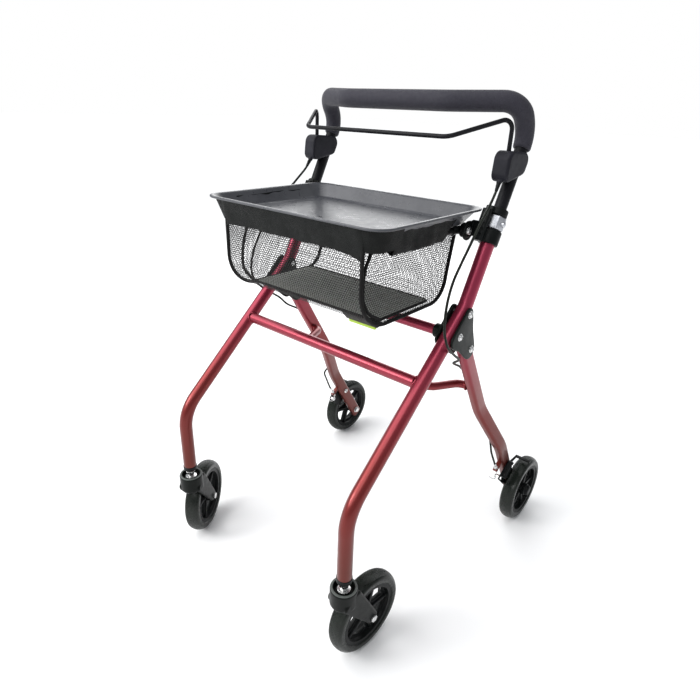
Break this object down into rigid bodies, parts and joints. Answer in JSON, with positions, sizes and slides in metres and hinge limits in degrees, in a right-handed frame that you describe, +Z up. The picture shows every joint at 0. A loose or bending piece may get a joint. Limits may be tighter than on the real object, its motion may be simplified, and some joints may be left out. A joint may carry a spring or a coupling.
{
  "type": "indoor rollator",
  "caption": "Folding indoor walker on swivel casters and rear wheels, with a hoop brake lever, a serving tray and a mesh basket.",
  "frame": {"origin": "centre of the bounding box at floor level, under the walker", "axes": "+Z up, +Y towards the user, -Y towards the casters, +X towards the walker's left-hand side seen from the front"},
  "size_m": [0.598, 0.674, 0.9222],
  "materials": {
    "frame_paint": "metallic gloss",
    "black_plastic": "satin",
    "chrome": "polished",
    "lime_plastic": "gloss",
    "handle_paint": "satin",
    "grip_foam": "matte foam",
    "tyre_rubber": "semi-gloss",
    "tray_plastic": "satin",
    "basket_mesh": "open mesh",
    "basket_panel": "stiffened"
  },
  "bodies": {
    "frame": {"front_crossbar": "frame_paint", "latch_bar": "frame_paint", "pull_handle": "black_plastic", "front_leg_left": "frame_paint", "front_leg_right": "frame_paint", "bracket_outer_left": "black_plastic", "bracket_outer_right": "black_plastic", "bracket_inner_left": "black_plastic", "bracket_inner_right": "black_plastic", "bracket_top_bolt_left": "chrome", "bracket_top_bolt_right": "chrome", "bracket_bar_bolt_left": "chrome", "bracket_bar_bolt_right": "chrome", "bracket_hinge_bolt_left": "chrome", "bracket_hinge_bolt_right": "chrome", "mast_clamp_left": "black_plastic", "mast_clamp_right": "black_plastic", "clamp_lug_left": "black_plastic", "clamp_lug_right": "black_plastic", "carrier_bolt_left": "chrome", "carrier_bolt_right": "chrome", "caster_stem_left": "chrome", "caster_stem_right": "chrome", "brake_cable_left": "black_plastic", "brake_cable_right": "black_plastic"},
    "rear_frame": {"rear_stay": "frame_paint", "rear_leg_left": "frame_paint", "rear_leg_right": "frame_paint", "cable_adjuster_left": "chrome", "cable_adjuster_right": "chrome", "brake_bolt_left": "chrome", "brake_bolt_right": "chrome", "rear_axle_left": "chrome", "rear_axle_right": "chrome"},
    "handle": {"handle_tube": "handle_paint", "grip": "grip_foam", "brake_housing_left": "black_plastic", "brake_housing_right": "black_plastic"},
    "brake_lever": {"brake_hoop": "black_plastic"},
    "carrier": {"tray_carrier": "black_plastic", "basket": "basket_mesh", "basket_floor": "basket_panel"},
    "serving_tray": {"tray": "tray_plastic"},
    "trigger": {"release_trigger": "lime_plastic"},
    "nut_left": {"height_nut_left": "chrome"},
    "arm_left": {"brake_arm_left": "black_plastic"},
    "rear_wheel_left": {"rear_rim_left": "black_plastic", "rear_tyre_left": "tyre_rubber"},
    "caster_left": {"caster_fork_left": "black_plastic", "caster_axle_left": "chrome"},
    "caster_wheel_left": {"caster_rim_left": "black_plastic", "caster_tyre_left": "tyre_rubber"},
    "nut_right": {"height_nut_right": "chrome"},
    "arm_right": {"brake_arm_right": "black_plastic"},
    "rear_wheel_right": {"rear_rim_right": "black_plastic", "rear_tyre_right": "tyre_rubber"},
    "caster_right": {"caster_fork_right": "black_plastic", "caster_axle_right": "chrome"},
    "caster_wheel_right": {"caster_rim_right": "black_plastic", "caster_tyre_right": "tyre_rubber"}
  },
  "joints": [
    {"name": "rear_fold", "type": "hinge", "parent": "frame", "child": "rear_frame", "pos_m": [0, -0.011, 0.511], "axis": [-1, 0, 0], "range_deg": [0, 42], "deforming": ["brake_cable_left", "brake_cable_right"]},
    {"name": "handle_height", "type": "slide", "parent": "frame", "child": "handle", "axis": [0, 0.4509, 0.8926], "range_m": [-0.035, 0.035], "deforming": ["brake_cable_left", "brake_cable_right"]},
    {"name": "brake_squeeze", "type": "hinge", "parent": "handle", "child": "brake_lever", "pos_m": [0, 0.06, 0.82], "axis": [-1, 0, 0], "range_deg": [0, 25], "stiffness_Nm_per_rad": 1.2, "springref_deg": -20.05},
    {"name": "carrier_tilt", "type": "hinge", "parent": "frame", "child": "carrier", "pos_m": [0, 0.006, 0.7082], "axis": [-1, 0, 0], "range_deg": [0, 50]},
    {"name": "tray_lift", "type": "slide", "parent": "carrier", "child": "serving_tray", "axis": [0, 0, 1], "range_m": [0, 0.06]},
    {"name": "release_pull", "type": "slide", "parent": "frame", "child": "trigger", "axis": [0, 0, 1], "range_m": [0, 0.003], "stiffness_N_per_m": 400, "springref_m": -0.004},
    {"name": "nut_turn_left", "type": "hinge", "parent": "frame", "child": "nut_left", "pos_m": [-0.215, 0.04124, 0.7085], "axis": [0, -0.4509, -0.8926], "range_deg": [0, 90]},
    {"name": "brake_arm_pivot_left", "type": "hinge", "parent": "rear_frame", "child": "arm_left", "pos_m": [-0.246, 0.20812, 0.16], "axis": [-1, 0, 0], "range_deg": [0, 6]},
    {"name": "rear_spin_left", "type": "hinge", "parent": "rear_frame", "child": "rear_wheel_left", "pos_m": [-0.274, 0.259, 0.0773], "axis": [1, 0, 0], "continuous": true},
    {"name": "caster_swivel_left", "type": "hinge", "parent": "frame", "child": "caster_left", "pos_m": [-0.215, -0.311, 0.175], "axis": [0, 0, 1], "continuous": true},
    {"name": "caster_spin_left", "type": "hinge", "parent": "caster_left", "child": "caster_wheel_left", "pos_m": [-0.24387, -0.26655, 0.0773], "axis": [-0.8387, -0.5446, 0], "continuous": true},
    {"name": "nut_turn_right", "type": "hinge", "parent": "frame", "child": "nut_right", "pos_m": [0.215, 0.04124, 0.7085], "axis": [0, 0.4509, 0.8926], "range_deg": [0, 90]},
    {"name": "brake_arm_pivot_right", "type": "hinge", "parent": "rear_frame", "child": "arm_right", "pos_m": [0.246, 0.20812, 0.16], "axis": [-1, 0, 0], "range_deg": [0, 6]},
    {"name": "rear_spin_right", "type": "hinge", "parent": "rear_frame", "child": "rear_wheel_right", "pos_m": [0.274, 0.259, 0.0773], "axis": [1, 0, 0], "continuous": true},
    {"name": "caster_swivel_right", "type": "hinge", "parent": "frame", "child": "caster_right", "pos_m": [0.215, -0.311, 0.175], "axis": [0, 0, 1], "continuous": true},
    {"name": "caster_spin_right", "type": "hinge", "parent": "caster_right", "child": "caster_wheel_right", "pos_m": [0.2187, -0.25813, 0.0773], "axis": [0.9976, -0.0698, 0], "continuous": true}
  ],
  "couplings": [
    {"joint": "brake_arm_pivot_left", "follows": "brake_squeeze", "ratio": 0.22},
    {"joint": "brake_arm_pivot_right", "follows": "brake_squeeze", "ratio": 0.22}
  ]
}
